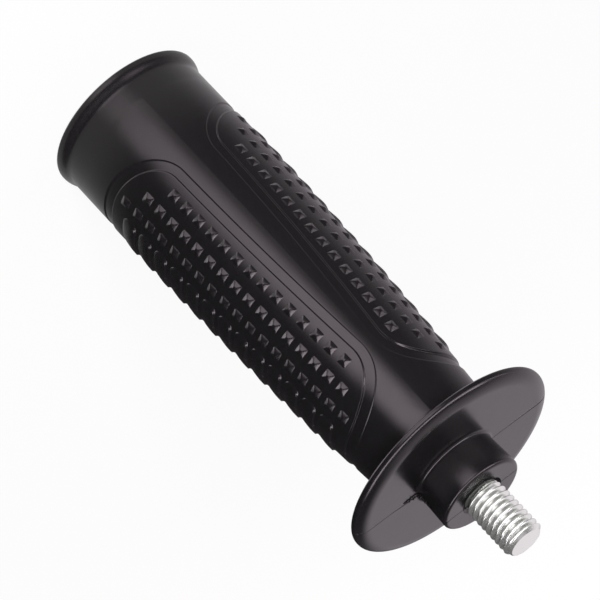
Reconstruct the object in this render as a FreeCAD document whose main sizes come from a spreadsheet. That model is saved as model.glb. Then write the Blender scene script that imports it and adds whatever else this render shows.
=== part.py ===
"""Side handle of a hand-held power tool: a moulded plastic grip with a hand guard, on a steel M10 stud.

Millimetres. The handle stands on the open end of its grip: the origin is the centre of that end,
+Z runs up the axis to the stud, and the mould parts in the plane Y = 0.
"""
import FreeCAD, Part
import math
import os
import sys

import Sketcher

Vector = FreeCAD.Vector

# name, value in millimetres, what it measures
DIMENSIONS = [
    ("lip_radius", 20.4, "outer radius of the lip round the open end"),
    ("lip_length", 0.8, "height of the lip's straight rim"),
    ("lip_edge_round", 0.6, "rounding of the lip's rear edge"),
    ("lip_flare_length", 3.6, "height over which the lip runs in to the neck"),
    ("neck_radius", 19.4, "radius of the plain neck above the lip"),
    ("neck_end_height", 17.0, "height where the barrel starts to taper"),
    ("barrel_front_radius", 15.5, "radius of the barrel at the guard"),
    ("barrel_root_fillet", 1.5, "fillet between barrel and guard"),
    ("guard_height", 116.9, "height of the guard's rear face"),
    ("guard_radius", 27.5, "radius of the round hand guard"),
    ("guard_thickness", 2.8, "thickness of the guard"),
    ("guard_edge_round", 1.3, "rounding of the guard's rim"),
    ("hub_radius", 10.3, "radius of the hub that meets the tool"),
    ("hub_length", 9.5, "length of the hub beyond the guard"),
    ("hub_edge_round", 1.0, "rounding of the hub's front edge"),
    ("hub_root_fillet", 1.6, "fillet between guard and hub"),
    ("recess_radius", 5.4, "radius of the shallow recess round the stud"),
    ("recess_depth", 0.5, "depth of that recess in the hub's face"),
    ("wall_rear", 4.8, "wall of the hollow grip at the open end"),
    ("wall_front", 3.3, "wall left beside the bore's floor, measured on the barrel's front radius"),
    ("bore_step_height", 46.0, "height of the step in the hollow"),
    ("bore_edge_chamfer", 0.6, "chamfer of the bore's mouth"),
    ("bore_floor_round", 2.0, "rounding of the bore's blind end"),
    ("floor_thickness", 5.8, "plastic between the bore's floor and the stud's head"),
    ("panel_rear_height", 17.2, "height where the grip panels start"),
    ("panel_front_height", 104.5, "height where the grip panels end"),
    ("gap_half_width", 1.4, "half of the smooth strip between the panels, where it is narrowest"),
    ("corner_width", 19.0, "size of a panel's rounded corner round the grip"),
    ("corner_rear_length", 13.0, "size of a rear corner along the grip"),
    ("corner_front_length", 15.0, "size of a front corner along the grip"),
    ("border_side", 2.5, "width of the sunk border along a panel's sides"),
    ("border_end", 3.1, "width of the sunk border at a panel's ends"),
    ("border_depth", 0.25, "depth of the sunk border"),
    ("panel_rise_end", 0.18, "height of the panel over the barrel at its ends"),
    ("panel_rise_middle", 0.12, "height of the panel over the barrel at mid length"),
    ("nub_pitch", 4.41, "spacing of the small nubs along a row"),
    ("nub_row_pitch", 5.17, "spacing of the rows round the grip"),
    ("nub_row_margin", 3.1, "from the border's inner edge to the outermost row"),
    ("nub_end_margin", 2.5, "least room between a row's end and the border"),
    ("nub_centre_shift", 0.9, "how far the outermost row sits ahead of the panel's middle"),
    ("nub_row_shift", 0.4, "how far each next row falls back"),
    ("nub_base", 2.7, "side of a nub's square foot"),
    ("nub_top", 1.1, "side of a nub's flat top"),
    ("nub_rise", 0.55, "height of a nub over the panel"),
    ("bar_pitch", 5.7, "spacing of the cross bars on the panel's centre line"),
    ("bar_end_margin", 5.0, "least room between the end bars and the border"),
    ("bar_half_length", 6.4, "half length of a cross bar, round the grip"),
    ("bar_width", 4.1, "width of a cross bar's foot"),
    ("bar_top", 1.2, "width of a cross bar's flat ridge"),
    ("bar_rise", 0.45, "height of a cross bar over the panel"),
    ("bar_end_slope", 1.6, "length of the sloped end of a cross bar"),
    ("foot_depth", 0.35, "how deep nubs and bars reach into the panel"),
    ("stud_radius", 5.0, "major radius of the M10 thread"),
    ("shank_radius", 4.5, "radius of the plain shank in the moulding"),
    ("thread_start", 0.5, "plain shank left bare between hub and thread"),
    ("stud_reach", 15.0, "free length of the stud beyond the hub"),
    ("stud_length", 35.0, "length of the stud under its head"),
    ("stud_chamfer", 1.0, "chamfer of the stud's tip"),
    ("head_width", 17.0, "width across the flats of the hexagonal head"),
    ("head_height", 6.4, "height of the head"),
]

NUB_ROWS = 3
HEX_SIDES = 6
# Straight steps that stand for a curve: the barrel's bulge, an edge round, the lip's flare, a
# panel's corner and side, and a bar's turn round the grip.
BARREL_STEPS = 4
ROUND_STEPS = 2
FLARE_STEPS = 3
CORNER_STEPS = 7
SIDE_STEPS = 4
BAR_STEPS = 2
# Flat strips that a panel's face is made of, from the centre line to a quarter turn.
FACE_STRIPS = 14

doc = FreeCAD.newDocument("SideHandle")
sheet = doc.addObject("Spreadsheet::Sheet", "Sizes")
for row, (name, size, meaning) in enumerate(DIMENSIONS, 1):
    sheet.set(f"A{row}", name)
    sheet.set(f"B{row}", str(size))
    sheet.set(f"C{row}", meaning)
    sheet.setAlias(f"B{row}", name)
doc.recompute()

# Places that several features share, as expressions on the sheet.
GUARD_FRONT = "(Sizes.guard_height + Sizes.guard_thickness)"
HUB_FRONT = f"({GUARD_FRONT} + Sizes.hub_length)"
STUD_TIP = f"({HUB_FRONT} + Sizes.stud_reach)"
HEAD_FRONT = f"({STUD_TIP} - Sizes.stud_length)"
HEAD_BACK = f"({HEAD_FRONT} - Sizes.head_height)"
BORE_FLOOR = f"({HEAD_BACK} - Sizes.floor_thickness)"
BARREL_END = "(Sizes.guard_height - Sizes.barrel_root_fillet)"
BARREL_DROP = "(Sizes.neck_radius - Sizes.barrel_front_radius)"
BARREL_RUN = f"({BARREL_END} - Sizes.neck_end_height)"
BARREL_ARC = f"(({BARREL_RUN}^2 + {BARREL_DROP}^2) / (2 * {BARREL_DROP}))"


def value(expression):
    """A number worked out from the sheet."""
    return float(sheet.evalExpression(expression))


def plane_of(body, role):
    """The body's own origin plane."""
    return next(f for f in body.Origin.OriginFeatures if f.Role == role)


def tie(sketch, kind, start, size):
    """Adds one constraint and binds it to the sheet."""
    sketch.addConstraint(Sketcher.Constraint(kind, *start, value(size)))
    sketch.setExpression(f"Constraints[{sketch.ConstraintCount - 1}]", size)


def draw_outline(body, name, corners, plane="YZ_Plane"):
    """Draws a closed outline of straight lines through corners (across, up), given as expressions."""
    sketch = body.newObject("Sketcher::SketchObject", name)
    sketch.AttachmentSupport = (plane_of(body, plane), [""])
    sketch.MapMode = "FlatFace"
    points = [Vector(value(across), value(up), 0) for across, up in corners]
    for start, end in zip(points, points[1:] + points[:1]):
        sketch.addGeometry(Part.LineSegment(start, end), False)
    for index, (across, up) in enumerate(corners):
        last = (index - 1) % len(corners)
        sketch.addConstraint(Sketcher.Constraint("Coincident", last, 2, index, 1))
        tie(sketch, "DistanceX", (-1, 1, index, 1), across)
        tie(sketch, "DistanceY", (-1, 1, index, 1), up)
    return sketch


def quarter_round(across, up, radius, first, last):
    """Corners along a quarter circle about a centre, between two angles in degrees."""
    corners = []
    for step in range(ROUND_STEPS + 1):
        angle = first + (last - first) * step / ROUND_STEPS
        corners.append((f"{across} + {radius} * cos({angle} deg)", f"{up} + {radius} * sin({angle} deg)"))
    return corners


def revolve(body, sketch, name, feature="PartDesign::Revolution"):
    """Turns a sketch a full turn about the grip's axis."""
    turned = body.newObject(feature, name)
    turned.Profile = sketch
    turned.ReferenceAxis = (sketch, ["V_Axis"])
    turned.Angle = 360
    sketch.Visibility = False
    return turned


# Threaded stud: a hexagon-head bolt, upset and rolled from steel, with its head moulded in.
stud = doc.addObject("PartDesign::Body", "threaded_stud")
stud.Label = "threaded_stud"
THREAD_FOOT = f"({HUB_FRONT} + Sizes.thread_start)"
shank_sketch = draw_outline(stud, "shank_profile", [
    ("0", HEAD_FRONT),
    ("Sizes.shank_radius", HEAD_FRONT),
    ("Sizes.shank_radius", THREAD_FOOT),
    ("Sizes.stud_radius", f"{THREAD_FOOT} + (Sizes.stud_radius - Sizes.shank_radius)"),
    ("Sizes.stud_radius", f"{STUD_TIP} - Sizes.stud_chamfer"),
    ("Sizes.stud_radius - Sizes.stud_chamfer", STUD_TIP),
    ("0", STUD_TIP),
])
revolve(stud, shank_sketch, "shank")
HEAD_REACH = "(Sizes.head_width / (2 * cos(30 deg)))"
head_turns = [360 // HEX_SIDES * side for side in range(HEX_SIDES)]
head_sketch = draw_outline(stud, "head_outline", [
    (f"{HEAD_REACH} * cos({turn} deg)", f"{HEAD_REACH} * sin({turn} deg)") for turn in head_turns
], "XY_Plane")
head_sketch.setExpression("AttachmentOffset.Base.z", HEAD_BACK)
head = stud.newObject("PartDesign::Pad", "head")
head.Profile = head_sketch
head.setExpression("Length", "Sizes.head_height")
stud.Tip = head

# Core of the moulding: lip, neck, tapered barrel, guard and hub in one turned form, cored out from
# the rear so that the wall stays even and the plastic doesn't sink.
core = doc.addObject("PartDesign::Body", "grip_core")
BORE_MOUTH = "(Sizes.neck_radius - Sizes.wall_rear)"
BORE_END = "(Sizes.barrel_front_radius - Sizes.wall_front)"
RECESS_FLOOR = f"({HUB_FRONT} - Sizes.recess_depth)"


def flare_corner(step):
    """Corner of the soft S-shaped run from the lip to the neck after so many of its straight steps."""
    turn = 180 * step / FLARE_STEPS
    radius = f"(Sizes.neck_radius + (Sizes.lip_radius - Sizes.neck_radius) * (1 + cos({turn} deg)) / 2)"
    return radius, f"(Sizes.lip_length + Sizes.lip_flare_length * {step} / {FLARE_STEPS})"


def barrel_corner(step):
    """Corner of the barrel's profile after so many of its straight steps."""
    run = f"({BARREL_RUN} * {step} / {BARREL_STEPS})"
    radius = f"(Sizes.neck_radius - {BARREL_ARC} + sqrt({BARREL_ARC}^2 - {run}^2))"
    return radius, f"(Sizes.neck_end_height + {run})"


core_corners = [("0", "0")]
core_corners += quarter_round(
    "(Sizes.lip_radius - Sizes.lip_edge_round)", "Sizes.lip_edge_round", "Sizes.lip_edge_round", 270, 360)
core_corners += [flare_corner(step) for step in range(FLARE_STEPS + 1)]
core_corners += [barrel_corner(step) for step in range(BARREL_STEPS)]
core_corners += quarter_round(
    "(Sizes.barrel_front_radius + Sizes.barrel_root_fillet)", BARREL_END,
    "Sizes.barrel_root_fillet", 180, 90)
core_corners += quarter_round(
    "(Sizes.guard_radius - Sizes.guard_edge_round)", "(Sizes.guard_height + Sizes.guard_edge_round)",
    "Sizes.guard_edge_round", 270, 360)
core_corners += quarter_round(
    "(Sizes.guard_radius - Sizes.guard_edge_round)", f"({GUARD_FRONT} - Sizes.guard_edge_round)",
    "Sizes.guard_edge_round", 0, 90)
core_corners += quarter_round(
    "(Sizes.hub_radius + Sizes.hub_root_fillet)", f"({GUARD_FRONT} + Sizes.hub_root_fillet)",
    "Sizes.hub_root_fillet", 270, 180)
core_corners += quarter_round(
    "(Sizes.hub_radius - Sizes.hub_edge_round)", f"({HUB_FRONT} - Sizes.hub_edge_round)",
    "Sizes.hub_edge_round", 0, 90)
core_corners += [
    ("Sizes.recess_radius", HUB_FRONT),
    ("Sizes.recess_radius", RECESS_FLOOR),
    ("0", RECESS_FLOOR),
]
revolve(core, draw_outline(core, "core_profile", core_corners), "turned_form")
doc.recompute()
bore_corners = [
    ("0", "0"),
    (f"{BORE_MOUTH} + Sizes.bore_edge_chamfer", "0"),
    (BORE_MOUTH, "Sizes.bore_edge_chamfer"),
    (BORE_MOUTH, "Sizes.bore_step_height"),
    (BORE_END, f"Sizes.bore_step_height + ({BORE_MOUTH} - {BORE_END})"),
]
bore_corners += quarter_round(
    f"({BORE_END} - Sizes.bore_floor_round)", f"({BORE_FLOOR} - Sizes.bore_floor_round)",
    "Sizes.bore_floor_round", 0, 90)
bore_corners.append(("0", BORE_FLOOR))
core.Tip = revolve(core, draw_outline(core, "bore_profile", bore_corners), "cored_bore", "PartDesign::Groove")
doc.recompute()


def straight_steps(knots):
    """Radius against height along straight steps between knots (height, radius)."""
    def radius(height):
        for near, far in zip(knots, knots[1:]):
            if height <= far[0]:
                break
        return near[1] + (far[1] - near[1]) * (height - near[0]) / (far[0] - near[0])
    return radius


barrel_knots = [(0.0, value("Sizes.neck_radius"))]
for step in range(BARREL_STEPS + 1):
    step_radius, step_height = barrel_corner(step)
    barrel_knots.append((value(step_height), value(step_radius)))
barrel_radius = straight_steps(barrel_knots)

# The two grip panels lie on the mould's parting plane, one at +X and one at -X, and wrap most of
# the way to the smooth strips at +Y and -Y.
panel_rear = value("Sizes.panel_rear_height")
panel_front = value("Sizes.panel_front_height")
border_side = value("Sizes.border_side")
border_end = value("Sizes.border_end")
field_rear = panel_rear + border_end
field_front = panel_front - border_end
field_middle = (field_rear + field_front) / 2


def heights_between(low, high):
    """Both heights, and those between them where the barrel's profile turns."""
    return [low] + [height for height, radius in barrel_knots if low < height < high] + [high]


def panel_rise(height):
    """How far the panels' face stands over the barrel at a height."""
    end = value("Sizes.panel_rise_end")
    offset = 2 * (height - field_middle) / (field_front - field_rear)
    return end + (value("Sizes.panel_rise_middle") - end) * (1 - offset ** 2)


field_radius = straight_steps([
    (height, barrel_radius(height) + panel_rise(height))
    for height in heights_between(field_rear, field_front)
])


def field_slope(height):
    """How fast the panels' face narrows with height."""
    half_run = value("Sizes.nub_base") / 2
    return (field_radius(height - half_run) - field_radius(height + half_run)) / (2 * half_run)


corner_top = panel_front - value("Sizes.corner_front_length")
panel_half_width = math.pi / 2 * field_radius(corner_top) - value("Sizes.gap_half_width")


def panel_outline(inset_side, inset_end, reach):
    """Flat face that is a panel's outline seen along Y, from its edge out to a reach beyond it.

    The outline keeps its distance from the centre line round the grip, so seen from here it
    follows the cosine of that distance.
    """
    half_width = panel_half_width - inset_side
    corner_width = value("Sizes.corner_width") - inset_side
    flat = half_width - corner_width
    points = []

    def add(around, height):
        radius = field_radius(height)
        points.append(Vector(radius * math.cos(around / radius), 0, height))

    rear = panel_rear + value("Sizes.corner_rear_length")
    rear_length = value("Sizes.corner_rear_length") - inset_end
    front_length = value("Sizes.corner_front_length") - inset_end
    for step in range(CORNER_STEPS + 1):
        angle = math.pi / 2 * step / CORNER_STEPS
        add(flat + corner_width * math.sin(angle), rear - rear_length * math.cos(angle))
    for step in range(1, SIDE_STEPS):
        add(half_width, rear + (corner_top - rear) * step / SIDE_STEPS)
    for step in range(CORNER_STEPS + 1):
        angle = math.pi / 2 * step / CORNER_STEPS
        add(flat + corner_width * math.cos(angle), corner_top + front_length * math.sin(angle))
    points += [Vector(reach, 0, points[-1].z), Vector(reach, 0, points[0].z)]
    return Part.Face(Part.makePolygon(points + points[:1]))


def ring_face(inner, outer, low, high):
    """Flat face in the plane X = 0 between two radii, which follow the height."""
    heights = heights_between(low, high)
    points = [Vector(0, inner(height), height) for height in heights]
    points += [Vector(0, outer(height), height) for height in reversed(heights)]
    return Part.Face(Part.makePolygon(points + points[:1]))


def shape_feature(name, shape):
    """A feature that holds a shape worked out above."""
    feature = doc.addObject("Part::Feature", name)
    feature.Shape = shape
    return feature


def turned_ring(name, face):
    """Turns a face a full turn about the grip's axis."""
    ring = doc.addObject("Part::Revolution", name)
    ring.Source = shape_feature(f"{name}_face", face)
    ring.Axis = (0, 0, 1)
    ring.Base = (0, 0, 0)
    ring.Angle = 360
    ring.Solid = True
    return ring


def prism(name, face):
    """Carries an outline through the grip along the way that the mould opens."""
    block = doc.addObject("Part::Extrusion", name)
    block.Base = shape_feature(f"{name}_face", face)
    block.DirMode = "Custom"
    block.Dir = (0, 1, 0)
    block.Symmetric = True
    block.Solid = True
    block.setExpression("LengthFwd", "3 * Sizes.lip_radius")
    return block


def mirrored(name, source):
    """The same form on the other side of the grip."""
    copy = doc.addObject("Part::Mirroring", name)
    copy.Source = source
    copy.Base = (0, 0, 0)
    copy.Normal = (1, 0, 0)
    return copy


def cut(name, base, tool):
    """A feature less another."""
    rest = doc.addObject("Part::Cut", name)
    rest.Base = base
    rest.Tool = tool
    return rest


def common(name, first, second):
    """What two features share."""
    shared = doc.addObject("Part::Common", name)
    shared.Base = first
    shared.Tool = second
    return shared


border_depth = value("Sizes.border_depth")
foot_depth = value("Sizes.foot_depth")
reach = 2 * value("Sizes.lip_radius")
border_ring = turned_ring("border_ring", ring_face(
    lambda height: barrel_radius(height) - border_depth,
    lambda height: field_radius(height) + foot_depth,
    panel_rear - border_end,
    panel_front + border_end,
))


def solid_of(loops):
    """A solid from its flat faces, each a loop of points."""
    faces = [Part.Face(Part.makePolygon(loop + loop[:1])) for loop in loops]
    return Part.makeSolid(Part.makeShell(faces))


def faceted_shell(inner, outer, low, high):
    """Half of a ring round +X, whose faces are flat strips between two radii."""
    strip = math.pi / 2 / FACE_STRIPS
    spread = (1 + 1 / math.cos(strip / 2)) / 2
    heights = heights_between(low, high)

    def corner(turn, height, radius):
        out = radius(height) * spread
        return Vector(out * math.cos(turn * strip), out * math.sin(turn * strip), height)

    loops = []
    for turn in range(-FACE_STRIPS, FACE_STRIPS):
        for near, far in zip(heights, heights[1:]):
            for radius in (inner, outer):
                loops.append([corner(turn, near, radius), corner(turn + 1, near, radius),
                              corner(turn + 1, far, radius), corner(turn, far, radius)])
        for height in (low, high):
            loops.append([corner(turn, height, inner), corner(turn + 1, height, inner),
                          corner(turn + 1, height, outer), corner(turn, height, outer)])
    for turn in (-FACE_STRIPS, FACE_STRIPS):
        for near, far in zip(heights, heights[1:]):
            loops.append([corner(turn, near, inner), corner(turn, near, outer),
                          corner(turn, far, outer), corner(turn, far, inner)])
    return solid_of(loops)


field_ring = shape_feature("field_ring", faceted_shell(
    lambda height: barrel_radius(height) - border_depth - foot_depth,
    field_radius,
    panel_rear,
    panel_front,
))


def nub(around, height):
    """A square nub with a flat top, standing on the panel at a distance round from its centre line."""
    radius = field_radius(height)
    angle = around / radius
    normal = Vector(math.cos(angle), math.sin(angle), field_slope(height)).normalize()
    across = Vector(-math.sin(angle), math.cos(angle), 0)
    along = normal.cross(across)
    seat = Vector(radius * math.cos(angle), radius * math.sin(angle), height)
    rise = value("Sizes.nub_rise")
    half_base = value("Sizes.nub_base") / 2
    half_top = value("Sizes.nub_top") / 2
    half_foot = half_base + foot_depth * (half_base - half_top) / rise

    def square(half, level):
        corners = ((-half, -half), (half, -half), (half, half), (-half, half))
        return [seat + across * u + along * v + normal * level for u, v in corners]

    foot = square(half_foot, -foot_depth)
    top = square(half_top, rise)
    sides = [[foot[i - 1], foot[i], top[i], top[i - 1]] for i in range(4)]
    return solid_of([foot, top] + sides)


def bar(height):
    """A roof-shaped bar that runs round the grip over the parting line."""
    radius = field_radius(height)
    slope = field_slope(height)
    half_angle = value("Sizes.bar_half_length") / radius
    end_angle = value("Sizes.bar_end_slope") / radius
    top_angle = half_angle - end_angle
    half_base = value("Sizes.bar_width") / 2
    half_top = value("Sizes.bar_top") / 2
    rise = value("Sizes.bar_rise")
    half_foot = half_base + foot_depth * (half_base - half_top) / rise
    foot_angle = half_angle + end_angle * foot_depth / rise

    def point(angle, along, level):
        out = radius + level - slope * along
        return Vector(out * math.cos(angle), out * math.sin(angle), height + along)

    sections = []
    for step in range(BAR_STEPS + 1):
        angle = top_angle * (2 * step / BAR_STEPS - 1)
        section = [point(angle, -half_foot, -foot_depth), point(angle, -half_top, rise)]
        section += [point(angle, half_top, rise), point(angle, half_foot, -foot_depth)]
        sections.append(section)
    loops = []
    for near, far in zip(sections, sections[1:]):
        loops += [[near[i - 1], near[i], far[i], far[i - 1]] for i in range(4)]
    for section, angle in ((sections[0], -foot_angle), (sections[-1], foot_angle)):
        toe = [point(angle, -half_top, -foot_depth), point(angle, half_top, -foot_depth)]
        loops.append([section[1], section[2], toe[1]])
        loops.append([section[1], toe[1], toe[0]])
        loops.append([section[0], section[1], toe[0]])
        loops.append([section[2], section[3], toe[1]])
        loops.append([section[0], toe[0], toe[1]])
        loops.append([section[0], toe[1], section[3]])
    return solid_of(loops)


def count_in(length, pitch):
    """How many repeats of a pitch a length holds."""
    return int(length // pitch) + 1


def relief():
    """Every nub and cross bar of one panel."""
    solids = []
    field_length = field_front - field_rear
    pitch = value("Sizes.nub_pitch")
    inner_count = count_in(field_length - 2 * value("Sizes.nub_end_margin"), pitch)
    for row in range(NUB_ROWS):
        around = panel_half_width - border_side - value("Sizes.nub_row_margin")
        around -= row * value("Sizes.nub_row_pitch")
        count = inner_count - 2 * (NUB_ROWS - 1 - row)
        middle = field_middle + value("Sizes.nub_centre_shift") - row * value("Sizes.nub_row_shift")
        for place in range(count):
            height = middle + (place - (count - 1) / 2) * pitch
            solids += [nub(around, height), nub(-around, height)]
    pitch = value("Sizes.bar_pitch")
    count = count_in(field_length - 2 * value("Sizes.bar_end_margin"), pitch)
    for place in range(count):
        solids.append(bar(field_middle + (place - (count - 1) / 2) * pitch))
    return solids


def fused(name, base, tool):
    """Two features grown together."""
    whole = doc.addObject("Part::Fuse", name)
    whole.Base = base
    whole.Tool = tool
    return whole


# A panel: a shallow border is sunk round it, its face stands a little proud of the barrel, and the
# nubs and bars stand on the face. The far panel is its mirror image.
outer = prism("panel_outer", panel_outline(0, 0, reach))
inner = prism("panel_inner", panel_outline(border_side, border_end, reach))
border = common("panel_border", border_ring, outer)
panel_face = common("panel_face", field_ring, inner)
doc.recompute()
panel = shape_feature("panel", panel_face.Shape.multiFuse(relief()))
pocketed = cut("stud_pocket", core, stud)
near_border = cut("near_border_cut", pocketed, border)
far_border = cut("far_border_cut", near_border, mirrored("far_border", border))
near_side = fused("near_side", far_border, panel)
moulding = fused("grip_moulding", near_side, mirrored("far_panel", panel))
doc.recompute()

SUB_PARTS = [moulding, stud]
failed = [item.Name for item in doc.Objects if "Invalid" in item.State or "Error" in item.State]
for part in SUB_PARTS:
    if part.Shape.isNull() or not part.Shape.isValid() or len(part.Shape.Solids) != 1:
        failed.append(part.Label)
if failed:
    sys.exit(f"not built: {failed}")

os.makedirs("parts", exist_ok=True)
for part in SUB_PARTS:
    part.Shape.exportStep(os.path.join("parts", f"{part.Label}.step"))
    box = part.Shape.BoundBox
    print(part.Label, len(part.Shape.Faces), "faces", round(part.Shape.Volume, 1), "mm3",
          [round(n, 2) for n in (box.XMin, box.YMin, box.ZMin, box.XMax, box.YMax, box.ZMax)])
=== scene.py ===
import math

import bpy
from mathutils import Matrix, Vector


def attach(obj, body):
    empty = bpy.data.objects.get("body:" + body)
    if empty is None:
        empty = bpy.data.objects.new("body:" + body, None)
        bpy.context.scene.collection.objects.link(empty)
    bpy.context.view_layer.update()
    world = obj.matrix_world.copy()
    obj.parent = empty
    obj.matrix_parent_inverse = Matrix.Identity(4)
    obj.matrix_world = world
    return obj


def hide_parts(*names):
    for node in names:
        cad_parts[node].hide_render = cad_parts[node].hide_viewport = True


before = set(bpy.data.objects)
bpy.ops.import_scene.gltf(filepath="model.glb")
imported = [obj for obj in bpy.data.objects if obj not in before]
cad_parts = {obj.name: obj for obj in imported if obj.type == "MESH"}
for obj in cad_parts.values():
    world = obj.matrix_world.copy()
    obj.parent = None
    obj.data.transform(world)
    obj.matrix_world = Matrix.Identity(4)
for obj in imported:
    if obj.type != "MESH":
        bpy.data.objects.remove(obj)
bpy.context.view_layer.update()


# ---- Grip moulding ----
# One injection moulding in black glossy plastic: lip, neck, tapered barrel, hand guard and hub, with a
# textured grip panel let into each side. It is moulded round the stud and hollow from the rear, and the
# two halves of its mould met in the plane Y = 0.

# Sizes are in millimetres: radii from the handle's axis, heights from its open end.
MILLIMETRE = 0.001
TURN_STEPS = 192
NECK_RADIUS = 19.4
NECK_END = 17.0
BARREL_FRONT_RADIUS = 15.5
BARREL_FILLET = 1.5
GUARD_REAR = 116.9

BARREL_END = GUARD_REAR - BARREL_FILLET
BARREL_DROP = NECK_RADIUS - BARREL_FRONT_RADIUS
BARREL_ARC = ((BARREL_END - NECK_END) ** 2 + BARREL_DROP ** 2) / (2 * BARREL_DROP)


def barrel_radius(height):
    """Radius of the plain barrel, a long shallow arc from the neck down to the guard."""
    run = max(height - NECK_END, 0.0)
    return NECK_RADIUS - BARREL_ARC + math.sqrt(BARREL_ARC ** 2 - run ** 2)


def ring_faces(rings, size):
    """Faces between closed rings of points, each joined to the next."""
    faces = []
    for ring in range(rings - 1):
        for step in range(size):
            beside = (step + 1) % size
            near, far = ring * size, (ring + 1) * size
            faces.append((near + step, near + beside, far + beside, far + step))
    return faces


def strip_faces(strips, size):
    """Faces between open rows of points, each joined to the next."""
    faces = []
    for strip in range(strips - 1):
        for step in range(size - 1):
            near, far = strip * size + step, (strip + 1) * size + step
            faces.append((near, far, far + 1, near + 1))
    return faces


def turned(profile, steps=TURN_STEPS):
    """Points and faces of a profile of (radius, height) turned about the axis."""
    points = []
    for radius, height in profile:
        for step in range(steps):
            angle = math.tau * step / steps
            points.append((radius * math.cos(angle), radius * math.sin(angle), height))
    return points, ring_faces(len(profile), steps)


# A panel's outline is given unrolled: the distance round the grip from the panel's centre line, and the
# height. The shell is the half of the barrel that the panel is let into.
PANEL_REAR, PANEL_FRONT = 17.2, 104.5
CORNER_WIDTH, CORNER_REAR, CORNER_FRONT = 19.0, 13.0, 15.0
BORDER_SIDE, BORDER_END = 2.5, 3.1
GAP_HALF_WIDTH = 1.4
PANEL_RISE_END, PANEL_RISE_MIDDLE = 0.18, 0.12
SHELL_REAR, SHELL_FRONT = 9.0, 112.0
SIDE_STEPS = 96
SIDE_CORNER_STEPS = 16
# half the length of a corner, as a share of its width
HALF_CORNER_LENGTH = 0.8

FIELD_REAR, FIELD_FRONT = PANEL_REAR + BORDER_END, PANEL_FRONT - BORDER_END
FIELD_MIDDLE = (FIELD_REAR + FIELD_FRONT) / 2


def field_radius(height):
    """Radius of a panel's face, which stands a little proud of the barrel."""
    offset = 2 * (height - FIELD_MIDDLE) / (FIELD_FRONT - FIELD_REAR)
    rise = PANEL_RISE_END + (PANEL_RISE_MIDDLE - PANEL_RISE_END) * (1 - offset ** 2)
    return barrel_radius(height) + rise


PANEL_HALF_WIDTH = math.pi / 2 * field_radius(PANEL_FRONT - CORNER_FRONT) - GAP_HALF_WIDTH


def all_round(right):
    """A closed loop from its right half and the same points mirrored."""
    return right + [(-across, height) for across, height in right[-2:0:-1]]


def panel_loop(inset):
    """The panel's outline as a loop of (round, height), inset by a share of the border."""
    half = PANEL_HALF_WIDTH - inset * BORDER_SIDE
    corner = CORNER_WIDTH - inset * BORDER_SIDE
    flat = half - corner
    rear, front = PANEL_REAR + CORNER_REAR, PANEL_FRONT - CORNER_FRONT
    rear_length, front_length = CORNER_REAR - inset * BORDER_END, CORNER_FRONT - inset * BORDER_END
    quarter_steps = TURN_STEPS // 4
    flat_steps = round(quarter_steps * flat / (flat + corner * HALF_CORNER_LENGTH))
    corner_steps = quarter_steps - flat_steps
    straight_steps = SIDE_STEPS - 2 * SIDE_CORNER_STEPS

    def corner_point(share, forward):
        """A point from the end of the flat edge (0) round to the side (1)."""
        angle = math.pi / 2 * share
        across = flat + corner * math.sin(angle)
        if forward:
            return across, front + front_length * math.cos(angle)
        return across, rear - rear_length * math.cos(angle)

    def end_half(forward):
        """From the centre line out to the middle of the corner."""
        end = corner_point(0, forward)[1]
        points = [(flat * step / flat_steps, end) for step in range(flat_steps)]
        points += [corner_point(0.5 * step / corner_steps, forward) for step in range(corner_steps + 1)]
        return points

    right = end_half(False)
    for step in range(1, SIDE_CORNER_STEPS + 1):
        right.append(corner_point(0.5 + 0.5 * step / SIDE_CORNER_STEPS, False))
    for step in range(1, straight_steps):
        right.append((half, rear + (front - rear) * step / straight_steps))
    for step in range(SIDE_CORNER_STEPS):
        right.append(corner_point(1 - 0.5 * step / SIDE_CORNER_STEPS, True))
    return all_round(right + end_half(True)[::-1])


def shell_loop():
    """The loop of (angle, height) round the shell that the panel's outline is joined to."""
    side = math.pi / 2
    quarter_steps = TURN_STEPS // 4
    right = [(side * step / quarter_steps, SHELL_REAR) for step in range(quarter_steps + 1)]
    for step in range(1, SIDE_STEPS):
        right.append((side, SHELL_REAR + (SHELL_FRONT - SHELL_REAR) * step / SIDE_STEPS))
    right += [(side * (1 - step / quarter_steps), SHELL_FRONT) for step in range(quarter_steps + 1)]
    return all_round(right)


# loops from the shell's edge (0) to just outside the panel (1)
SHELL_SHARES = (0.0, 0.25, 0.5, 0.72, 0.88, 0.96)
# the section of the sunk border: its inset as a share of the border, its height, and what that is
# measured from, the barrel (0) or the panel's face (1)
BORDER_SECTION = [
    (-0.07, 0.0, 0), (-0.04, 0.0, 0), (-0.02, -0.02, 0), (0.06, -0.17, 0), (0.09, -0.19, 0),
    (0.16, -0.2, 0), (0.45, -0.23, 0), (0.82, -0.29, 0), (0.9, -0.3, 0), (0.93, -0.26, 0),
    (0.97, -0.06, 1), (0.99, -0.01, 1), (1.03, 0.0, 1), (1.12, 0.0, 1),
]
BORDER_OUTSIDE, BORDER_INSIDE = BORDER_SECTION[0][0], BORDER_SECTION[-1][0]
# loops from the border (1) in to the middle of the panel's face (0), where they end in a line along it
FACE_SHARES = (0.93, 0.84, 0.74, 0.63, 0.52, 0.41, 0.3, 0.2, 0.1, 0.0)
FACE_LINE = 0.35


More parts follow.
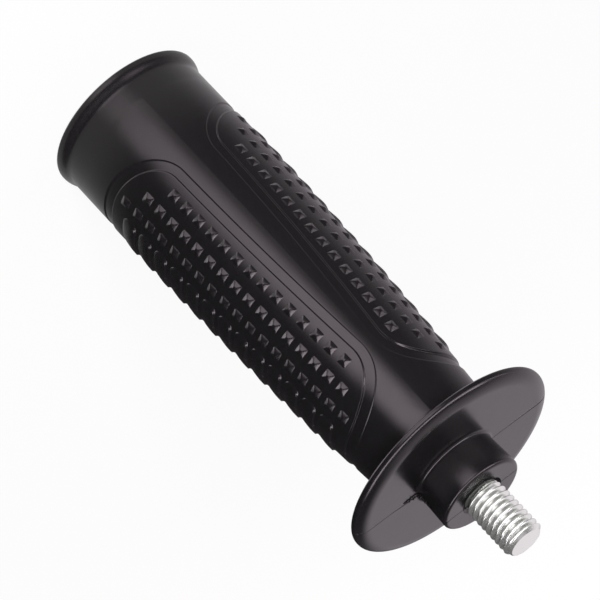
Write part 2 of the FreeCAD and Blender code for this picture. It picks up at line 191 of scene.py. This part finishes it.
def panel_shell():
    """Half of the barrel with one panel, in loops from the shell's edge in to the panel's middle."""
    loops = []
    outer = shell_loop()
    rim = [(across / field_radius(height), height) for across, height in panel_loop(BORDER_OUTSIDE)]
    for share in SHELL_SHARES:
        loop = [(a + (b - a) * share, h + (k - h) * share) for (a, h), (b, k) in zip(outer, rim)]
        loops.append([(angle, height, barrel_radius(height)) for angle, height in loop])
    for inset, rise, from_face in BORDER_SECTION:
        loop = []
        for across, height in panel_loop(inset):
            base = field_radius(height) if from_face else barrel_radius(height)
            loop.append((across / field_radius(height), height, base + rise))
        loops.append(loop)
    edge = panel_loop(BORDER_INSIDE)
    for share in FACE_SHARES:
        loop = []
        for across, height in edge:
            inner = FIELD_MIDDLE + (height - FIELD_MIDDLE) * (FACE_LINE + (1 - FACE_LINE) * share)
            loop.append((across * share / field_radius(inner), inner, field_radius(inner)))
        loops.append(loop)
    points = []
    for loop in loops:
        points += [(radius * math.cos(angle), radius * math.sin(angle), h) for angle, h, radius in loop]
    return points, ring_faces(len(loops), len(outer))


def raised(around, height, rings, steps):
    """A rounded form on a panel's face, at a distance round the grip and a height.

    Each ring holds half its length round the grip, half its width along the grip, the radius of its
    corners, its height over the face, and how far it is shifted forward.
    """
    radius = field_radius(height)
    slope = (field_radius(height - 1) - field_radius(height + 1)) / 2
    points = []
    for half_across, half_along, corner, rise, forward in rings:
        straight_across, straight_along = half_across - corner, half_along - corner
        bend = math.pi / 2 * corner
        sides = [2 * straight_along, bend, 2 * straight_across, bend] * 2
        total = sum(sides) or 1.0
        for step in range(steps):
            run = total * step / steps
            side = 0
            while side < 7 and run > sides[side]:
                run -= sides[side]
                side += 1
            if side % 4 == 0:
                u, v = half_across, run - straight_along
            elif side % 4 == 2:
                u, v = straight_across - run, half_along
            else:
                turn = math.pi / 2 * (run / bend if bend else 0.0) + (math.pi / 2 if side % 4 == 3 else 0.0)
                centre = straight_across if side % 4 == 1 else -straight_across
                u, v = centre + corner * math.cos(turn), straight_along + corner * math.sin(turn)
            if side > 3:
                u, v = -u, -v
            v += forward
            out = radius + rise - slope * v
            angle = (around + u) / radius
            points.append((out * math.cos(angle), out * math.sin(angle), height + v + slope * rise))
    return points, ring_faces(len(rings), steps)


# square nubs with a point, in three rows on each side of the bars
NUB_PITCH, NUB_ROW_PITCH, NUB_ROW_MARGIN = 4.41, 5.17, 3.1
NUB_COUNTS = (14, 16, 18)
NUB_SHIFTS = (0.9, 0.5, 0.1)
NUB_STEPS = 24
NUB_RINGS = [
    (1.5, 1.5, 0.3, -0.3, 0.0), (1.32, 1.32, 0.24, -0.02, 0.0), (1.26, 1.26, 0.22, 0.02, 0.0),
    (0.4, 0.4, 0.1, 0.4, 0.0), (0.28, 0.28, 0.1, 0.44, 0.0), (0.14, 0.14, 0.06, 0.46, 0.0),
    (0.0, 0.0, 0.0, 0.465, 0.0),
]
# cross bars, each rising slowly towards the front and ending there in a steep face
BAR_PITCH, BAR_COUNT = 5.7, 13
BAR_STEPS = 64
BAR_RINGS = [
    (7.0, 2.5, 2.0, -0.3, 0.0), (6.75, 2.36, 1.9, -0.03, 0.0), (6.6, 2.22, 1.8, 0.08, 0.03),
    (6.2, 1.9, 1.6, 0.2, 0.28), (5.8, 1.3, 1.2, 0.36, 0.8), (5.6, 0.9, 0.85, 0.44, 1.1),
    (5.4, 0.5, 0.45, 0.47, 1.35), (5.2, 0.2, 0.18, 0.48, 1.5), (5.0, 0.0, 0.0, 0.48, 1.5),
]


def panel_relief():
    """Every nub and cross bar of one panel."""
    forms = []
    for row, (count, shift) in enumerate(zip(NUB_COUNTS, NUB_SHIFTS)):
        around = PANEL_HALF_WIDTH - BORDER_SIDE - NUB_ROW_MARGIN - row * NUB_ROW_PITCH
        for nub in range(count):
            height = FIELD_MIDDLE + shift + (nub - (count - 1) / 2) * NUB_PITCH
            forms.append(raised(around, height, NUB_RINGS, NUB_STEPS))
            forms.append(raised(-around, height, NUB_RINGS, NUB_STEPS))
    for bar in range(BAR_COUNT):
        height = FIELD_MIDDLE + (bar - (BAR_COUNT - 1) / 2) * BAR_PITCH
        forms.append(raised(0.0, height, BAR_RINGS, BAR_STEPS))
    return forms


def half_turn(form):
    """The same form on the grip's other side."""
    points, faces = form
    return [(-x, -y, z) for x, y, z in points], faces


def quarter(across, up, radius, first, last, steps=8):
    """Points (radius, height) along a quarter circle between two angles in degrees."""
    angles = [math.radians(first + (last - first) * step / steps) for step in range(steps + 1)]
    return [(across + radius * math.cos(angle), up + radius * math.sin(angle)) for angle in angles]


# Rear of the moulding: the bore from its closed floor out to its mouth, round the lip and up the neck.
# A further ring close to an edge, by one of the holds, keeps the flat face beside it flat in the light.
HOLD, BORE_HOLD = 0.3, 0.2
BORE_FRONT_RADIUS, BORE_REAR_RADIUS = 12.2, 14.6
BORE_FLOOR, BORE_ROUND = 97.0, 2.0
BORE_STEP, BORE_STEP_LENGTH = 46.0, 2.4
MOUTH_CHAMFER = 0.6
LIP_RADIUS, LIP_ROUND, LIP_LENGTH = 20.4, 0.6, 0.8
FLARE_END, FLARE_STEPS = 4.4, 12

rear_profile = [
    (0.0, BORE_FLOOR),
    (BORE_FRONT_RADIUS - BORE_ROUND, BORE_FLOOR),
]
rear_profile += quarter(BORE_FRONT_RADIUS - BORE_ROUND, BORE_FLOOR - BORE_ROUND, BORE_ROUND, 90, 0)[1:]
rear_profile += [
    (BORE_FRONT_RADIUS, BORE_STEP + BORE_STEP_LENGTH + BORE_HOLD),
    (BORE_FRONT_RADIUS, BORE_STEP + BORE_STEP_LENGTH),
    (BORE_REAR_RADIUS, BORE_STEP),
    (BORE_REAR_RADIUS, BORE_STEP - BORE_HOLD),
    (BORE_REAR_RADIUS, MOUTH_CHAMFER + HOLD),
    (BORE_REAR_RADIUS, MOUTH_CHAMFER),
    (BORE_REAR_RADIUS + MOUTH_CHAMFER, 0.0),
    (BORE_REAR_RADIUS + MOUTH_CHAMFER + BORE_HOLD, 0.0),
    (LIP_RADIUS - LIP_ROUND - HOLD, 0.0),
]
rear_profile += quarter(LIP_RADIUS - LIP_ROUND, LIP_ROUND, LIP_ROUND, 270, 360)
for step in range(FLARE_STEPS + 1):
    flare = (1 + math.cos(math.pi * step / FLARE_STEPS)) / 2
    height = LIP_LENGTH + (FLARE_END - LIP_LENGTH) * step / FLARE_STEPS
    rear_profile.append((NECK_RADIUS + (LIP_RADIUS - NECK_RADIUS) * flare, height))
rear_profile += [(NECK_RADIUS, FLARE_END + HOLD), (NECK_RADIUS, SHELL_REAR)]

# Front of the moulding: the barrel's end, the guard with its wide soft front edge, the hub, and the
# recess in its face that the stud stands in.
GUARD_FRONT, GUARD_RADIUS = 119.7, 27.5
RIM_REAR_ROUND, RIM_FRONT_WIDTH, RIM_FRONT_HEIGHT, RIM_STEPS = 0.6, 3.4, 1.9, 14
HUB_RADIUS, HUB_END_RADIUS, HUB_FRONT = 10.3, 10.6, 129.2
HUB_FILLET, HUB_ROUND = 0.8, 0.8
RECESS_RADIUS, RECESS_DEPTH, RECESS_CHAMFER = 5.4, 0.5, 0.1
SHANK_RADIUS, SHANK_HOLE_DEPTH = 4.5, 1.0

front_profile = [(barrel_radius(height), height) for height in (SHELL_FRONT, SHELL_FRONT + 1.0)]
front_profile += quarter(BARREL_FRONT_RADIUS + BARREL_FILLET, BARREL_END, BARREL_FILLET, 180, 90)
front_profile += [
    (BARREL_FRONT_RADIUS + BARREL_FILLET + HOLD, GUARD_REAR),
    (GUARD_RADIUS - RIM_REAR_ROUND - HOLD, GUARD_REAR),
]
front_profile += quarter(GUARD_RADIUS - RIM_REAR_ROUND, GUARD_REAR + RIM_REAR_ROUND, RIM_REAR_ROUND, 270, 360)
for step in range(RIM_STEPS + 1):
    angle = math.pi / 2 * step / RIM_STEPS
    rim = GUARD_RADIUS - RIM_FRONT_WIDTH * (1 - math.cos(angle))
    front_profile.append((rim, GUARD_FRONT - RIM_FRONT_HEIGHT * (1 - math.sin(angle))))
front_profile += [
    (GUARD_RADIUS - RIM_FRONT_WIDTH - HOLD, GUARD_FRONT),
    (HUB_RADIUS + HUB_FILLET + HOLD, GUARD_FRONT),
]
front_profile += quarter(HUB_RADIUS + HUB_FILLET, GUARD_FRONT + HUB_FILLET, HUB_FILLET, 270, 180)
front_profile += [
    (HUB_RADIUS, GUARD_FRONT + HUB_FILLET + HOLD),
    (HUB_END_RADIUS, HUB_FRONT - HUB_ROUND - HOLD),
]
front_profile += quarter(HUB_END_RADIUS - HUB_ROUND, HUB_FRONT - HUB_ROUND, HUB_ROUND, 0, 90)
front_profile += [
    (HUB_END_RADIUS - HUB_ROUND - HOLD, HUB_FRONT),
    (RECESS_RADIUS + RECESS_CHAMFER, HUB_FRONT),
    (RECESS_RADIUS, HUB_FRONT - RECESS_CHAMFER),
    (RECESS_RADIUS, HUB_FRONT - RECESS_DEPTH),
    (SHANK_RADIUS, HUB_FRONT - RECESS_DEPTH),
    (SHANK_RADIUS, HUB_FRONT - SHANK_HOLE_DEPTH),
]

# a ragged fin of flash on the parting line, from the guard's face up the hub's side
FLASH_STEPS = 60
FLASH_ON_GUARD, FLASH_LENGTH = 4.0, 9.0
FLASH_HALF_WIDTH = 0.13
FLASH_FOOT, FLASH_SUNK = 0.25, 0.1
FLASH_HEIGHT, FLASH_RAGGED = 0.3, 0.35


def flash():
    """The fin as a strip of triangular section that follows the surface it stands on."""
    points = []
    for step in range(FLASH_STEPS + 1):
        share = step / FLASH_STEPS
        run = FLASH_LENGTH * share - FLASH_ON_GUARD
        ragged = abs(math.sin(31.0 * share) + 0.6 * math.sin(73.0 * share + 1.0))
        proud = (FLASH_HEIGHT + FLASH_RAGGED * ragged) * math.sin(math.pi * share) ** 0.5
        if run < 0.0:
            foot = HUB_RADIUS + FLASH_FOOT - run
            base, top = (foot, GUARD_FRONT - FLASH_SUNK), (foot, GUARD_FRONT + proud)
        else:
            base, top = (HUB_RADIUS - FLASH_SUNK, GUARD_FRONT + run), (HUB_RADIUS + proud, GUARD_FRONT + run)
        points.append((base[0], -FLASH_HALF_WIDTH, base[1]))
        points.append((top[0], 0.0, top[1]))
        points.append((base[0], FLASH_HALF_WIDTH, base[1]))
    return points, strip_faces(FLASH_STEPS + 1, 3)


def piece(name, forms, material):
    """One object in metres from forms (points, faces) in millimetres, shaded smooth."""
    points, faces = [], []
    for form_points, form_faces in forms:
        start = len(points)
        points += [tuple(MILLIMETRE * n for n in point) for point in form_points]
        faces += [tuple(start + corner for corner in face) for face in form_faces]
    mesh = bpy.data.meshes.new(name)
    mesh.from_pydata(points, [], faces)
    mesh.polygons.foreach_set("use_smooth", [True] * len(mesh.polygons))
    mesh.materials.append(material)
    mesh.validate()
    made = bpy.data.objects.new(name, mesh)
    bpy.context.scene.collection.objects.link(made)
    return made


class Wire:
    """A shader socket that takes arithmetic: an expression on it adds its Math nodes."""

    def __init__(self, tree, socket=None):
        self.tree = tree
        self.socket = socket

    def node(self, kind, settings, inputs, output=0):
        """Adds a node: its settings first, then a value or a wire for each of its sockets."""
        made = self.tree.nodes.new(kind)
        for name, setting in settings.items():
            setattr(made, name, setting)
        for name, content in inputs.items():
            if isinstance(content, Wire):
                content.feed(made.inputs[name])
            else:
                made.inputs[name].default_value = content
        return Wire(self.tree, made.outputs[output])

    def feed(self, socket):
        """Links the wire to a node's socket."""
        self.tree.links.new(self.socket, socket)

    def math(self, operation, *terms):
        """A Math node on numbers and wires."""
        return self.node("ShaderNodeMath", {"operation": operation}, dict(enumerate(terms)))

    def __add__(self, other):
        return self.math("ADD", self, other)

    def __radd__(self, other):
        return self.math("ADD", other, self)

    def __sub__(self, other):
        return self.math("SUBTRACT", self, other)

    def __rsub__(self, other):
        return self.math("SUBTRACT", other, self)

    def __mul__(self, other):
        return self.math("MULTIPLY", self, other)

    def __rmul__(self, other):
        return self.math("MULTIPLY", other, self)

    def __truediv__(self, other):
        return self.math("DIVIDE", self, other)

    def __rtruediv__(self, other):
        return self.math("DIVIDE", other, self)

    def __abs__(self):
        return self.math("ABSOLUTE", self)


def soft_step(value, low, high):
    """A soft step from 0 to 1 as a wire's value goes from low to high."""
    return value.node("ShaderNodeMapRange", {"interpolation_type": "SMOOTHSTEP"},
                      {"Value": value, "From Min": low, "From Max": high})


def soft_band(value, start, full, fading, end):
    """1 where a wire's value is between full and fading, softly down to 0 at start and end."""
    return soft_step(value, start, full) * (1 - soft_step(value, fading, end))


def new_material(name):
    """A material with its Principled shader, and a wire to build its nodes from."""
    material = bpy.data.materials.new(name)
    material.use_nodes = True
    tree = material.node_tree
    return material, tree.nodes["Principled BSDF"], Wire(tree)


grip_plastic, shader, wire = new_material("black_gloss_plastic")
shader.inputs["Base Color"].default_value = (0.006, 0.0056, 0.0062, 1.0)
shader.inputs["Specular Tint"].default_value = (1.0, 0.95, 0.96, 1.0)
place = wire.node("ShaderNodeTexCoord", {}, {}, "Object")
mottle = wire.node("ShaderNodeTexNoise", {}, {"Vector": place, "Scale": 260.0, "Detail": 3.0}, "Fac")
ripple = wire.node("ShaderNodeTexNoise", {}, {"Vector": place, "Scale": 900.0, "Detail": 2.0}, "Fac")
(0.18 + 0.08 * mottle).feed(shader.inputs["Roughness"])

# The parting line of the mould is a fine groove in the plane Y = 0. It is wider on the guard's face,
# widest at the rim on one side, and sunk beside the hub on the other.
SEAM_DEPTH = 0.22
SEAM_STRENGTH = 0.9
SEAM_HALF_WIDTH = 0.12
SEAM_WIDER_ON_GUARD, SEAM_WIDER_AT_RIM, SEAM_WIDER_BESIDE_HUB = 0.16, 0.34, 0.75
RIPPLE_DEPTH = 0.005

x = wire.node("ShaderNodeSeparateXYZ", {}, {"Vector": place}, "X") / MILLIMETRE
y = wire.node("ShaderNodeSeparateXYZ", {}, {"Vector": place}, "Y") / MILLIMETRE
z = wire.node("ShaderNodeSeparateXYZ", {}, {"Vector": place}, "Z") / MILLIMETRE
on_guard = soft_step(z, GUARD_FRONT - 1.2, GUARD_FRONT - 0.5)
at_rim = on_guard * soft_step(0 - x, 12.0, 27.0)
beside_hub = on_guard * soft_band(x, 9.0, 10.5, 13.5, 18.5)
half_width = SEAM_HALF_WIDTH + SEAM_WIDER_ON_GUARD * on_guard
half_width = half_width + SEAM_WIDER_AT_RIM * at_rim + SEAM_WIDER_BESIDE_HUB * beside_hub
seam = soft_step(abs(y) / half_width, 0.1, 1.0)
bump = wire.node("ShaderNodeBump", {}, {
    "Strength": SEAM_STRENGTH,
    "Distance": SEAM_DEPTH * MILLIMETRE,
    "Height": seam + RIPPLE_DEPTH * ripple,
})
bump.feed(shader.inputs["Normal"])

SHADING_WEIGHT = 80

shell = panel_shell()
relief = panel_relief()
forms = [turned(rear_profile), turned(front_profile), shell, half_turn(shell), flash()]
forms += relief + [half_turn(form) for form in relief]
grip = piece("grip", forms, grip_plastic)
weighted = grip.modifiers.new("even_shading", "WEIGHTED_NORMAL")
weighted.weight = SHADING_WEIGHT
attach(grip, "root")
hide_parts("grip_moulding")


# ---- Threaded stud ----
# A hexagon-head steel bolt, M10 with a pitch of 1.5, its thread rolled and the whole of it bright zinc
# plated. Its head and plain shank are moulded into the plastic, and only the thread stands out of the hub.

THREAD_PITCH, THREAD_MAJOR, THREAD_MINOR = 1.5, 5.0, 4.12
THREAD_START, THREAD_STEPS = 129.7, 72
STUD_TIP, STUD_CHAMFER = 144.2, 1.0
HEAD_BACK, HEAD_FRONT, HEAD_REACH = 102.8, 109.2, 9.815
SHANK_STEPS = 48
THREAD_RUN_IN, TIP_SUNK = 0.6, 0.01
SHANK_END = THREAD_START - THREAD_RUN_IN
SHARP_ANGLE = 40
# one turn of the thread in section: share of the pitch, and share of the thread's depth
THREAD_PROFILE = [
    (0.0, 0.0), (0.06, 0.02), (0.12, 0.1), (0.4, 0.88), (0.45, 0.97), (0.5, 1.0), (0.55, 1.0),
    (0.6, 0.97), (0.65, 0.88), (0.93, 0.1), (1.0, 0.0),
]


def thread():
    """The thread as one helical sweep, trimmed to a cone at its tip and faded out at its foot."""
    turns = math.ceil((STUD_TIP - THREAD_START) / THREAD_PITCH) + 2
    points = []
    for step in range(turns * THREAD_STEPS + 1):
        turn = step / THREAD_STEPS
        angle = math.tau * turn
        for share, depth in THREAD_PROFILE:
            height = THREAD_START - THREAD_PITCH + (turn + share) * THREAD_PITCH
            height = min(max(height, SHANK_END), STUD_TIP)
            radius = THREAD_MINOR + (THREAD_MAJOR - THREAD_MINOR) * depth
            tip_limit = THREAD_MAJOR - STUD_CHAMFER + (STUD_TIP - height)
            foot_limit = SHANK_RADIUS + max(height - THREAD_START, 0.0)
            radius = min(radius, tip_limit, foot_limit)
            points.append((radius * math.cos(angle), radius * math.sin(angle), height))
    return points, strip_faces(turns * THREAD_STEPS + 1, len(THREAD_PROFILE))


zinc_steel, shader, wire = new_material("bright_zinc_steel")
shader.inputs["Metallic"].default_value = 0.88
shader.inputs["Base Color"].default_value = (0.77, 0.8, 0.755, 1.0)
place = wire.node("ShaderNodeTexCoord", {}, {}, "Object")
haze = wire.node("ShaderNodeTexNoise", {}, {"Vector": place, "Scale": 700.0, "Detail": 4.0}, "Fac")
(0.1 + 0.12 * haze).feed(shader.inputs["Roughness"])

shank = [
    (0.0, HEAD_FRONT),
    (SHANK_RADIUS, HEAD_FRONT),
    (SHANK_RADIUS, SHANK_END),
    (0.0, SHANK_END),
]
tip = [
    (THREAD_MAJOR - STUD_CHAMFER, STUD_TIP - TIP_SUNK),
    (THREAD_MAJOR - STUD_CHAMFER - HOLD, STUD_TIP),
    (0.0, STUD_TIP),
]
head = [
    (0.0, HEAD_BACK),
    (HEAD_REACH, HEAD_BACK),
    (HEAD_REACH, HEAD_FRONT),
    (0.0, HEAD_FRONT),
]
forms = [thread(), turned(shank, SHANK_STEPS), turned(tip, THREAD_STEPS), turned(head, 6)]
stud = piece("stud", forms, zinc_steel)
stud.data.set_sharp_from_angle(angle=math.radians(SHARP_ANGLE))
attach(stud, "root")
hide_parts("threaded_stud")


# ---- Floor ----
# A pale matt sheet under the handle. Further out it gives way to the white room, so that no edge of it
# shows, and the gloss on the handle reflects the room there.

SHEET_RADIUS, SHEET_HEIGHT = 600.0, -0.1
SHEET_STEPS = 64
WHITE = (1.0, 1.0, 1.0, 1.0)

floor_paint, shader, wire = new_material("pale_floor")
shader.inputs["Base Color"].default_value = (0.9, 0.9, 0.9, 1.0)
shader.inputs["Roughness"].default_value = 1.0
shader.inputs["Specular IOR Level"].default_value = 0.0
paint = Wire(wire.tree, shader.outputs["BSDF"])
place = wire.node("ShaderNodeTexCoord", {}, {}, "Object")
from_handle = wire.node("ShaderNodeVectorMath", {"operation": "LENGTH"}, {0: place}, "Value") / MILLIMETRE
seen = wire.node("ShaderNodeLightPath", {}, {}, "Is Camera Ray")
in_gloss = wire.node("ShaderNodeLightPath", {}, {}, "Is Glossy Ray")
glow = wire.node("ShaderNodeEmission", {}, {"Color": WHITE, "Strength": 1.0}, "Emission")
clear = wire.node("ShaderNodeBsdfTransparent", {}, {}, "BSDF")
whitened = (0.9 + 0.1 * soft_step(from_handle, 100.0, 500.0)) * seen
cleared = (0.4 + 0.6 * soft_step(from_handle, 30.0, 70.0)) * in_gloss
pale = wire.node("ShaderNodeMixShader", {}, {0: whitened, 1: paint, 2: glow}, "Shader")
sheet = wire.node("ShaderNodeMixShader", {}, {0: cleared, 1: pale, 2: clear}, "Shader")
sheet.feed(wire.tree.nodes["Material Output"].inputs["Surface"])

sheet_angles = [math.tau * step / SHEET_STEPS for step in range(SHEET_STEPS)]
sheet_edge = [(SHEET_RADIUS * math.cos(a), SHEET_RADIUS * math.sin(a), SHEET_HEIGHT) for a in sheet_angles]
floor = piece("floor", [(sheet_edge, [tuple(range(SHEET_STEPS))])], floor_paint)


# ---- Light ----
# A white room that only the gloss on the handle reflects. Its camera end is dark, with a strip of light
# below the camera, a high and a low window, a pale ceiling and a bright table. A soft box beside the
# camera and an even light from all sides do the rest.

CAMERA_AZIMUTH = math.radians(-72.95)
# how bright each part of the room is, where 1 is white
RIGHT_WALL_NEAR, RIGHT_WALL_SIDE, RIGHT_WALL_FAR = 0.04, 0.1, 0.4
BACK_WALL_NEAR, BACK_WALL_FAR = 0.1, 0.8
STRIP, TABLE, CEILING = 3.0, 4.0, 0.4
HIGH_WINDOW, LOW_WINDOW = 7.0, 2.5
EVEN_LIGHT = 0.45
STRIP_TURN, STRIP_HALF_WIDTH, STRIP_FADED = math.radians(3), math.radians(9), math.radians(32)
GLOSS_TINT = (1.04, 0.95, 1.03, 1.0)

scene = bpy.context.scene
scene.view_settings.view_transform = "Standard"
world = bpy.data.worlds.new("studio")
scene.world = world
world.use_nodes = True
wire = Wire(world.node_tree)
seen = wire.node("ShaderNodeLightPath", {}, {}, "Is Camera Ray")
in_gloss = wire.node("ShaderNodeLightPath", {}, {}, "Is Glossy Ray")
direction = wire.node("ShaderNodeTexCoord", {}, {}, "Generated")


def towards(vector):
    """How far the direction looked in points along a vector, from -1 to 1."""
    return wire.node("ShaderNodeVectorMath", {"operation": "DOT_PRODUCT"}, {0: direction, 1: vector}, "Value")


# the room's directions: towards the camera, to the camera's left side, up, and the angle round
front = towards((math.cos(CAMERA_AZIMUTH), math.sin(CAMERA_AZIMUTH), 0.0))
left = towards((-math.sin(CAMERA_AZIMUTH), math.cos(CAMERA_AZIMUTH), 0.0))
up = towards((0.0, 0.0, 1.0))
azimuth = wire.math("ARCTAN2", left, front)

# each part fades in and out between two angles round, in radians, or two shares of straight up
right_wall = RIGHT_WALL_NEAR + RIGHT_WALL_SIDE * (1 - soft_step(azimuth, -0.8, -0.2))
right_wall = right_wall + RIGHT_WALL_FAR * (1 - soft_step(azimuth, -2.2, -1.4))
back_wall = (1 - soft_step(front, -0.7, 0.3)) * (1 - soft_step(left, 0.0, 0.4))
back_wall = BACK_WALL_NEAR + BACK_WALL_FAR * back_wall
upper = soft_step(up, -0.3, 0.25)
strip = 1 - soft_step(abs(azimuth + STRIP_TURN), STRIP_HALF_WIDTH, STRIP_FADED)
strip = strip * (1 - soft_step(up, -0.2, 0.08)) * (0.55 + 0.45 * soft_step(up, -0.5, -0.3))
table = soft_step(0 - up, 0.69, 0.82) * (0.25 + 0.75 * soft_band(azimuth, 0.9, 1.2, 1.5, 1.85))
high_window = soft_band(up, 0.42, 0.5, 0.6, 0.7) * soft_band(azimuth, -1.6, -1.3, 1.3, 1.7)
low_window = soft_band(up, 0.2, 0.3, 0.36, 0.42) * soft_band(azimuth, -2.0, -1.6, -0.9, -0.4)
ceiling = soft_step(up, 0.85, 0.97)
room = right_wall * (1 - upper) + back_wall * upper + STRIP * strip + TABLE * table
room = room + HIGH_WINDOW * high_window + LOW_WINDOW * low_window + CEILING * ceiling
plain = EVEN_LIGHT * (1 - in_gloss) * (1 - seen) + seen

background = world.node_tree.nodes["Background"]
tint = wire.node("ShaderNodeMix", {"data_type": "RGBA"}, {0: in_gloss, 6: WHITE, 7: GLOSS_TINT}, 2)
tint.feed(background.inputs["Color"])
(plain + room * in_gloss).feed(background.inputs["Strength"])

# the soft box looks at a point of the handle's axis from beside and above the camera
SOFT_BOX_SIDE, SOFT_BOX_ENERGY = 280.0, 9.0
SOFT_BOX_AIM, SOFT_BOX_DISTANCE = 90.0, 900.0
SOFT_BOX_TURN, SOFT_BOX_RISE = -0.06, 0.52

soft_box_data = bpy.data.lights.new("soft_box", "AREA")
soft_box_data.shape = "RECTANGLE"
soft_box_data.size = SOFT_BOX_SIDE * MILLIMETRE
soft_box_data.size_y = SOFT_BOX_SIDE * MILLIMETRE
soft_box_data.energy = SOFT_BOX_ENERGY
soft_box = bpy.data.objects.new("soft_box", soft_box_data)
soft_box_angle = CAMERA_AZIMUTH + SOFT_BOX_TURN
to_soft_box = Vector((math.cos(soft_box_angle), math.sin(soft_box_angle), SOFT_BOX_RISE)).normalized()
soft_box.location = (Vector((0.0, 0.0, SOFT_BOX_AIM)) + SOFT_BOX_DISTANCE * to_soft_box) * MILLIMETRE
soft_box.rotation_euler = to_soft_box.to_track_quat("Z", "Y").to_euler()
soft_box.visible_camera = False
soft_box.visible_glossy = False
scene.collection.objects.link(soft_box)


# ---- Camera ----
# It looks at the handle as the photograph does. Its place is given from the handle's axis at the guard,
# in millimetres, before the whole view is turned about that axis.

VIEW_TURN = CAMERA_AZIMUTH + math.pi / 2
CAMERA_ROLL, CAMERA_TILT = math.radians(46.77), math.radians(24.17)
CAMERA_OFFSET = (-0.285, -840.84, 324.52)
CAMERA_CENTRE = 117.5
SENSOR_WIDTH, LENS = 36.0, 243.7

roll_sine, roll_cosine = math.sin(CAMERA_ROLL), math.cos(CAMERA_ROLL)
tilt_sine, tilt_cosine = math.sin(CAMERA_TILT), math.cos(CAMERA_TILT)
turn = Matrix.Rotation(VIEW_TURN, 3, "Z")
across = turn @ Vector((-roll_sine, tilt_sine * roll_cosine, roll_cosine * tilt_cosine))
down = turn @ Vector((roll_cosine, tilt_sine * roll_sine, roll_sine * tilt_cosine))
away = turn @ Vector((0.0, tilt_cosine, -tilt_sine))
axes = Matrix((across, -down, -away)).transposed()
camera_place = turn @ Vector(CAMERA_OFFSET) + Vector((0.0, 0.0, CAMERA_CENTRE))
camera_data = bpy.data.cameras.new("camera")
camera_data.sensor_width = SENSOR_WIDTH
camera_data.lens = LENS
camera = bpy.data.objects.new("camera", camera_data)
camera.matrix_world = Matrix.Translation(camera_place * MILLIMETRE) @ axes.to_4x4()
scene.collection.objects.link(camera)
scene.camera = camera
